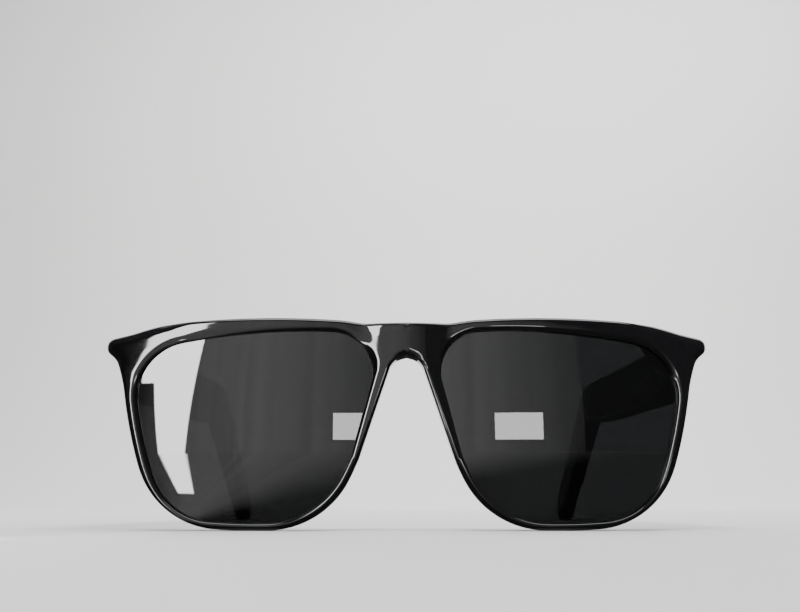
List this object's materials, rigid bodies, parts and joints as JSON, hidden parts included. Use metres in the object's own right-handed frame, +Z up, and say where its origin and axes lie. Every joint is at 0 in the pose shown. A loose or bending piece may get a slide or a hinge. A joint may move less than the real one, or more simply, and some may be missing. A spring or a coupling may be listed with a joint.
{
  "type": "smart glasses",
  "caption": "Dark-lens audio smart glasses with a one-piece front, thick folding temples that hold the electronics, a push button on each temple and inner charging contacts.",
  "frame": {"origin": "middle of the overall width and depth with the temples open, at the level of the rims' lowest points and the ear tips", "axes": "+X towards the wearer's left, +Y backwards along the temples, +Z up; the front faces -Y"},
  "size_m": [0.149, 0.154, 0.0504],
  "materials": {
    "frame_gloss": "polished piano black",
    "temple_gloss": "polished piano black",
    "tip_gloss": "polished black",
    "button_gloss": "polished black",
    "smoke_lens": "dark neutral smoke, hard coated",
    "cover_matte": "fine spark texture",
    "hinge_steel": "blackened steel",
    "screw_steel": "turned",
    "spring_steel": "drawn wire",
    "battery_foil": "embossed foil pouch",
    "foam_pad": "closed-cell foam",
    "board_green": "solder mask",
    "can_steel": "tinned",
    "cable_amber": "polyimide film",
    "speaker_body": "moulded",
    "grille_black": "perforated, matt",
    "switch_body": "moulded",
    "contact_gold": "gold plated",
    "magnet_nickel": "nickel plated",
    "light_pipe_clear": "frosted clear"
  },
  "bodies": {
    "front": {"front_frame": "frame_gloss", "front_hinge_leaf_left": "hinge_steel", "front_hinge_leaf_right": "hinge_steel", "front_leaf_screws_left": "screw_steel", "front_leaf_screws_right": "screw_steel", "hinge_pin_left": "hinge_steel", "hinge_pin_right": "hinge_steel", "lens_left": "smoke_lens", "lens_right": "smoke_lens"},
    "temple_left": {"antenna_left": "cable_amber", "battery_left": "battery_foil", "battery_pad_left": "foam_pad", "charging_contacts_left": "contact_gold", "charging_magnets_left": "magnet_nickel", "circuit_board_left": "board_green", "core_wire_left": "spring_steel", "cover_screws_left": "screw_steel", "ear_tip_left": "tip_gloss", "flat_cable_left": "cable_amber", "inner_cover_left": "cover_matte", "light_pipe_left": "light_pipe_clear", "microphone_left": "can_steel", "microphone_seal_left": "foam_pad", "shield_can_left": "can_steel", "speaker_gasket_left": "foam_pad", "speaker_grille_left": "grille_black", "speaker_left": "speaker_body", "tactile_switch_left": "switch_body", "temple_hinge_leaf_left": "hinge_steel", "temple_leaf_screws_left": "screw_steel", "temple_shell_left": "temple_gloss", "touch_sensor_left": "cable_amber"},
    "button_left": {"button_cap_left": "button_gloss"},
    "temple_right": {"antenna_right": "cable_amber", "battery_pad_right": "foam_pad", "battery_right": "battery_foil", "charging_contacts_right": "contact_gold", "charging_magnets_right": "magnet_nickel", "circuit_board_right": "board_green", "core_wire_right": "spring_steel", "cover_screws_right": "screw_steel", "ear_tip_right": "tip_gloss", "flat_cable_right": "cable_amber", "inner_cover_right": "cover_matte", "light_pipe_right": "light_pipe_clear", "microphone_right": "can_steel", "microphone_seal_right": "foam_pad", "shield_can_right": "can_steel", "speaker_gasket_right": "foam_pad", "speaker_grille_right": "grille_black", "speaker_right": "speaker_body", "tactile_switch_right": "switch_body", "temple_hinge_leaf_right": "hinge_steel", "temple_leaf_screws_right": "screw_steel", "temple_shell_right": "temple_gloss", "touch_sensor_right": "cable_amber"},
    "button_right": {"button_cap_right": "button_gloss"}
  },
  "joints": [
    {"name": "temple_fold_left", "type": "hinge", "parent": "front", "child": "temple_left", "pos_m": [0.06495, -0.0641, 0.04327], "axis": [0, 0, 1], "range_deg": [0, 90]},
    {"name": "temple_fold_right", "type": "hinge", "parent": "front", "child": "temple_right", "pos_m": [-0.06495, -0.0641, 0.04327], "axis": [0, 0, -1], "range_deg": [0, 83]},
    {"name": "button_press_left", "type": "slide", "parent": "temple_left", "child": "button_left", "axis": [0, 0, -1], "range_m": [0, 0.0004], "stiffness_N_per_m": 600},
    {"name": "button_press_right", "type": "slide", "parent": "temple_right", "child": "button_right", "axis": [0, 0, -1], "range_m": [0, 0.0004], "stiffness_N_per_m": 600}
  ]
}
